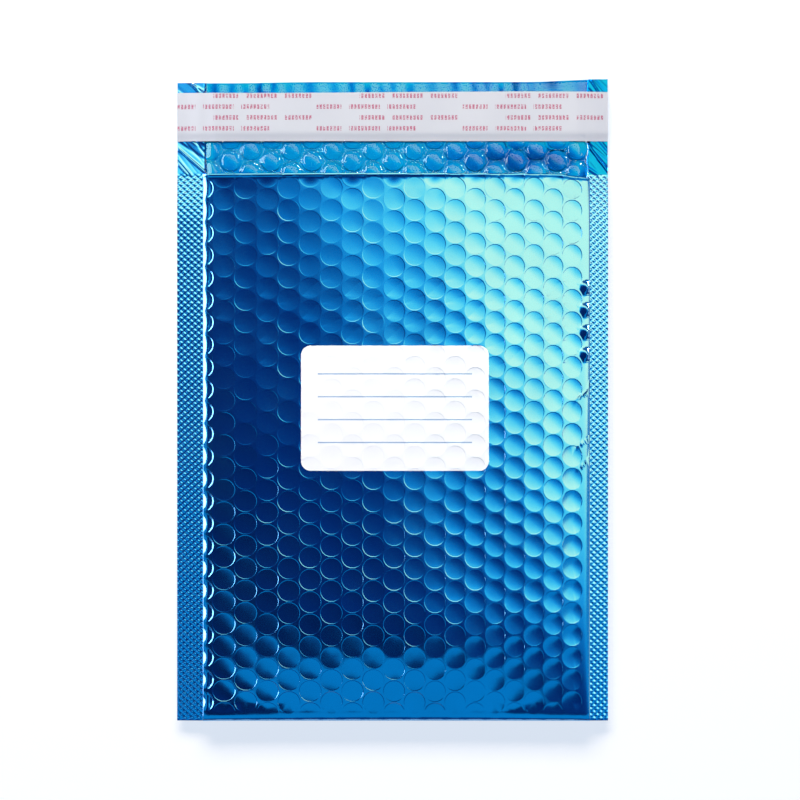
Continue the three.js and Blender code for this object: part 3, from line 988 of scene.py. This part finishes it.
def adhesive_material(finish):
    """Tacky hot-melt adhesive, slightly uneven."""
    material, tree, shader, clouds = grained_material("tacky_adhesive", 90, 500, 0.5, 0.1 * MM)
    tint = mix(tree, clouds, finish.adhesive, darker(finish.adhesive, 0.8))
    rough = math(tree, "MULTIPLY_ADD", clouds, 0.2, 0.25)
    feed(tree, shader, {"Base Color": tint, "Roughness": rough})
    return material


def dash_rows_group():
    """Rows of small dashes in groups of three, with the odd rows shifted and some ink missing."""
    sizes = {
        "Period": 61 * MM,
        "Row Pitch": 4.53 * MM,
        "Row Height": 1.9 * MM,
        "Dash Pitch": 1.45 * MM,
    }
    tree, start, end = new_group("dash_rows", sizes, ["Mask"])
    period, row_pitch, row_height, dash_pitch = [start.outputs[socket] for socket in sizes]
    place, x, y = object_place(tree)
    middle = (LINER_LOW.y + LINER_HIGH.y) / 2 + DASH_OFFSET
    row = math(tree, "DIVIDE", math(tree, "SUBTRACT", y, middle), row_pitch)
    number = math(tree, "FLOOR", row)
    half_row = math(tree, "MULTIPLY", math(tree, "DIVIDE", row_height, row_pitch), 0.5)
    in_row = near(tree, math(tree, "FRACT", row), 0.5, half_row)
    on_liner = math(tree, "GREATER_THAN", number, -2.5)
    odd = math(tree, "FLOORED_MODULO", number, 2)
    shift = math(tree, "MULTIPLY_ADD", odd, ODD_SHIFT, ROW_SHIFT)
    along = math(tree, "FRACT", math(tree, "ADD", math(tree, "DIVIDE", x, period), shift))
    in_group = 0
    for centre, half in DASH_GROUPS:
        in_group = math(tree, "MAXIMUM", in_group, near(tree, along, centre, half))
    dash = math(tree, "FRACT", math(tree, "DIVIDE", x, dash_pitch))
    in_dash = math(tree, "LESS_THAN", dash, DASH_SHARE)
    wear = add(tree, "ShaderNodeTexNoise", {"Vector": place, "Scale": 2600, "Detail": 1})
    inked = math(tree, "GREATER_THAN", wear.outputs["Fac"], 0.42)
    mask = all_of(tree, in_row, on_liner, in_group, in_dash, inked)
    tree.links.new(mask, end.inputs["Mask"])
    return tree


def liner_material(finish):
    """Satin off-white film with rows of small red dashes."""
    material, tree, shader, clouds = grained_material("printed_liner", 45, 1100, 0.2, 0.05 * MM)
    paper = mix(tree, clouds, finish.liner, darker(finish.liner, 0.9))
    dashes = add(tree, "ShaderNodeGroup", node_tree=dash_rows_group()).outputs["Mask"]
    tint = mix(tree, math(tree, "MULTIPLY", dashes, 0.9), paper, finish.dashes)
    rough = math(tree, "MULTIPLY_ADD", clouds, 0.2, 0.35)
    feed(tree, shader, {"Base Color": tint, "Roughness": rough})
    return material


# Stage

def card(name, low, high, height, colour, bend=0):
    """A flat emitting card over the object, seen only in reflections.

    The colour is plain or a function that gives it. The bend moves the card along Y by so
    much times the square of X.
    """
    points, triangles = grid_field(low, high, (0.1, 0.1))
    points = np.column_stack([points, np.full(len(points), height)])
    points[:, 1] += bend * points[:, 0] ** 2
    material, tree = new_material(name)
    tree.nodes.clear()
    colour = colour(tree) if callable(colour) else (*colour, 1)
    glow = add(tree, "ShaderNodeEmission", {"Color": colour, "Strength": 1})
    add(tree, "ShaderNodeOutputMaterial", {"Surface": glow.outputs[0]})
    piece = new_piece(name, points, triangles[:, ::-1], [material])
    piece.visible_camera = False
    piece.visible_diffuse = False
    piece.visible_shadow = False


# Light of the overhead card by the distance along its slanting line, from the lower left on
CARD_LINE = (0.54, 0.84, 0)
CARD_STEPS = (
    (-0.42, (0.050, 0.30, 0.58)),
    (-0.34, (0.020, 0.20, 0.46)),
    (-0.26, (0.001, 0.012, 0.07)),
    (-0.20, (0.002, 0.030, 0.13)),
    (-0.10, (0.002, 0.050, 0.22)),
    (-0.05, (0.002, 0.085, 0.29)),
    (-0.01, (0.003, 0.24, 0.54)),
    (0.02, (0.004, 0.44, 0.80)),
    (0.05, (0.02, 0.82, 1.20)),
    (0.085, (0.28, 1.65, 1.45)),
    (0.12, (0.95, 2.20, 1.45)),
    (0.16, (2.40, 2.55, 1.38)),
    (0.20, (3.80, 2.80, 1.36)),
    (0.34, (3.80, 2.80, 1.36)),
    (0.42, (0.02, 0.25, 0.50)),
)


def card_colour(tree):
    """Colour by the distance along the card's slanting line."""
    place = add(tree, "ShaderNodeTexCoord").outputs["Object"]
    first, last = CARD_STEPS[0][0], CARD_STEPS[-1][0]
    along = vector(tree, "DOT_PRODUCT", place, CARD_LINE)
    ramp = add(tree, "ShaderNodeValToRGB", {"Fac": share_between(tree, along, first, last)})
    steps = ramp.color_ramp.elements
    steps.remove(steps[1])
    steps[0].color = (*CARD_STEPS[0][1], 1)
    for place, colour in CARD_STEPS[1:]:
        steps.new((place - first) / (last - first)).color = (*colour, 1)
    return ramp.outputs[0]


def strip_light(name, location, size, radiance, colour=(1, 1, 1), fill=False):
    """An even rectangular light that faces the object, for reflections or for soft fill."""
    light = bpy.data.lights.new(name, "AREA")
    light.color = colour
    light.shape = "RECTANGLE"
    light.size, light.size_y = size
    light.energy = radiance * np.pi * size[0] * size[1]
    lamp = put(name, light)
    lamp.location = location
    lamp.rotation_euler = (-Vector(location)).to_track_quat("-Z", "Y").to_euler()
    lamp.visible_camera = False
    lamp.visible_glossy = not fill
    lamp.visible_diffuse = fill


def floor(stage):
    """Pale floor. Rays that look at it see it brighter by an even amount, and keep the shadow."""
    points, triangles = grid_field((-8, -8), (8, 8), (4, 4))
    points = np.column_stack([points, np.full(len(points), -FLOOR_DEPTH)])
    material, tree = new_material("pale_floor")
    path = add(tree, "ShaderNodeLightPath")
    seen = 0
    for ray in ("Is Camera Ray", "Is Glossy Ray", "Is Transmission Ray"):
        seen = math(tree, "MAXIMUM", seen, path.outputs[ray])
    feed(tree, tree.nodes["Principled BSDF"], {
        "Base Color": (*stage.floor, 1),
        "Roughness": 1,
        "Specular IOR Level": 0,
        "Emission Color": (*FLOOR_GLOW, 1),
        "Emission Strength": seen,
    })
    new_piece("floor", points, triangles, [material])


def studio_world():
    """Dim blue above, white near the horizon."""
    world = bpy.data.worlds.new("studio")
    bpy.context.scene.world = world
    world.use_nodes = True
    tree = world.node_tree
    place = add(tree, "ShaderNodeTexCoord").outputs["Generated"]
    up = add(tree, "ShaderNodeSeparateXYZ", {0: place}).outputs[2]
    sky = mix(tree, share_between(tree, up, 0.06, 0.2), HORIZON, SKY)
    tree.links.new(sky, tree.nodes["Background"].inputs["Color"])


def camera(stage):
    """Camera straight above the envelope, framed as the photograph."""
    data = bpy.data.cameras.new("camera")
    data.sensor_width = 36
    data.lens = data.sensor_width * (stage.camera_height - VIEW_LEVEL) / stage.view_width
    eye = put("camera", data)
    eye.location = (*CAMERA_AIM, stage.camera_height)
    bpy.context.scene.camera = eye


# Operators

class AddSkin(bpy.types.Operator):
    """Add the front skin and the back skin with its flap"""

    bl_idname = "envelope.add_skin"
    bl_label = "Add Skin"

    def execute(self, context):
        film, finish = context.scene.envelope_film, context.scene.envelope_finish
        colour, inside = tuple(finish.film), tuple(finish.film_inside)
        printed = film_material(finish, "printed_film", colour, 0.14, printed=True)
        plain = film_material(finish, "plain_film", colour, 0.14)
        dull = film_material(finish, "film_inside", inside, 0.2, coat=0)
        front_film(film, [printed, dull])
        back_film(film, [plain, dull])
        return {"FINISHED"}


class AddSeals(bpy.types.Operator):
    """Add the two welded side seams"""

    bl_idname = "envelope.add_seals"
    bl_label = "Add Side Seals"

    def execute(self, context):
        film, finish = context.scene.envelope_film, context.scene.envelope_finish
        # Painted light: the seals get the film's own colour made 1.25 times lighter. The left
        # seal keeps this lighter outside colour along the flap too, where the right one shows the
        # film's inside.
        colour = tuple(min(1, c * 1.25) for c in finish.film)
        left = film_material(finish, "pressed_film_left_painted_light", colour, 0.18)
        right = film_material(finish, "pressed_film_right_painted_light", colour, 0.18, seam=True)
        tuck = 0.5 * MM
        seal(film, "seal_left", -SIDE, POCKET_LEFT + tuck, [left])
        seal(film, "seal_right", SIDE, POCKET_RIGHT - tuck, [right])
        return {"FINISHED"}


class AddLining(bpy.types.Operator):
    """Add the clear bubble film inside the front and inside the back and flap"""

    bl_idname = "envelope.add_lining"
    bl_label = "Add Bubble Film"

    def execute(self, context):
        film = context.scene.envelope_film
        clear = bubble_material(context.scene.envelope_finish)
        lining(
            film, "back_lining", back_sheet, BACK_HALF, BACK_LENGTH, BACK_START,
            (0.5, 0.8, 0.93, 1), [clear],
        )
        lining(
            film, "front_lining", front_sheet, FRONT_HALF, FRONT_LENGTH, FRONT_START,
            (0.6, 0.9, 1), [clear],
        )
        return {"FINISHED"}


class AddClosingStrip(bpy.types.Operator):
    """Add the release liner and finish the adhesive under it"""

    bl_idname = "envelope.add_closing_strip"
    bl_label = "Add Closing Strip"

    def execute(self, context):
        finish = context.scene.envelope_finish
        release_liner([liner_material(finish)])
        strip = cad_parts["adhesive_strip"]
        strip.data.materials.clear()
        strip.data.materials.append(adhesive_material(finish))
        return {"FINISHED"}


class AddStage(bpy.types.Operator):
    """Add the floor, lights, world and camera"""

    bl_idname = "envelope.add_stage"
    bl_label = "Add Stage"

    def execute(self, context):
        stage = context.scene.envelope_stage
        floor(stage)
        studio_world()
        card("overhead_card", (-0.75, -0.30), (1.1, 1.1), stage.card_height, card_colour)
        fold_height = stage.card_height - 10 * MM
        card("fold_card", (-0.6, -0.7), (0.6, -0.31), fold_height, (0.005, 0.52, 0.84), 1.8)
        strip_light("left_strip", (-0.85, 0.2, 0.36), (1.1, 0.7), 8)
        strip_light("right_strip", (0.62, 0.75, 0.22), (1.2, 0.12), 90)
        strip_light("fill", (-0.2, 1.3, 0.85), (1.2, 0.5), 29, (1, 0.92, 0.79), fill=True)
        camera(stage)
        context.scene.view_settings.view_transform = "Standard"
        return {"FINISHED"}


class EnvelopePanel(bpy.types.Panel):
    """Lists the steps that build the envelope"""

    bl_idname = "VIEW3D_PT_envelope"
    bl_label = "Padded Envelope"
    bl_space_type = "VIEW_3D"
    bl_region_type = "UI"
    bl_category = "Envelope"

    def draw(self, context):
        for operator in OPERATORS:
            self.layout.operator(operator.bl_idname)
        for group in ("envelope_film", "envelope_finish", "envelope_stage"):
            settings = getattr(context.scene, group)
            for name in settings.bl_rna.properties.keys():
                if name not in ("rna_type", "name"):
                    self.layout.prop(settings, name)


OPERATORS = (AddSkin, AddSeals, AddLining, AddClosingStrip, AddStage)
GROUPS = {
    "envelope_film": EnvelopeFilm,
    "envelope_finish": EnvelopeFinish,
    "envelope_stage": EnvelopeStage,
}


def register():
    """Adds the classes, and the settings to the scene."""
    for cls in (*GROUPS.values(), *OPERATORS, EnvelopePanel):
        bpy.utils.register_class(cls)
    for name, group in GROUPS.items():
        setattr(bpy.types.Scene, name, bpy.props.PointerProperty(type=group))


def unregister():
    """Takes the settings and the classes out again."""
    for name in GROUPS:
        delattr(bpy.types.Scene, name)
    for cls in (EnvelopePanel, *OPERATORS, *GROUPS.values()):
        bpy.utils.unregister_class(cls)


def main():
    """Runs the steps in order."""
    register()
    for operator in OPERATORS:
        getattr(bpy.ops.envelope, operator.bl_idname.split(".")[1])()
    bpy.context.view_layer.update()


if __name__ == "__main__":
    main()
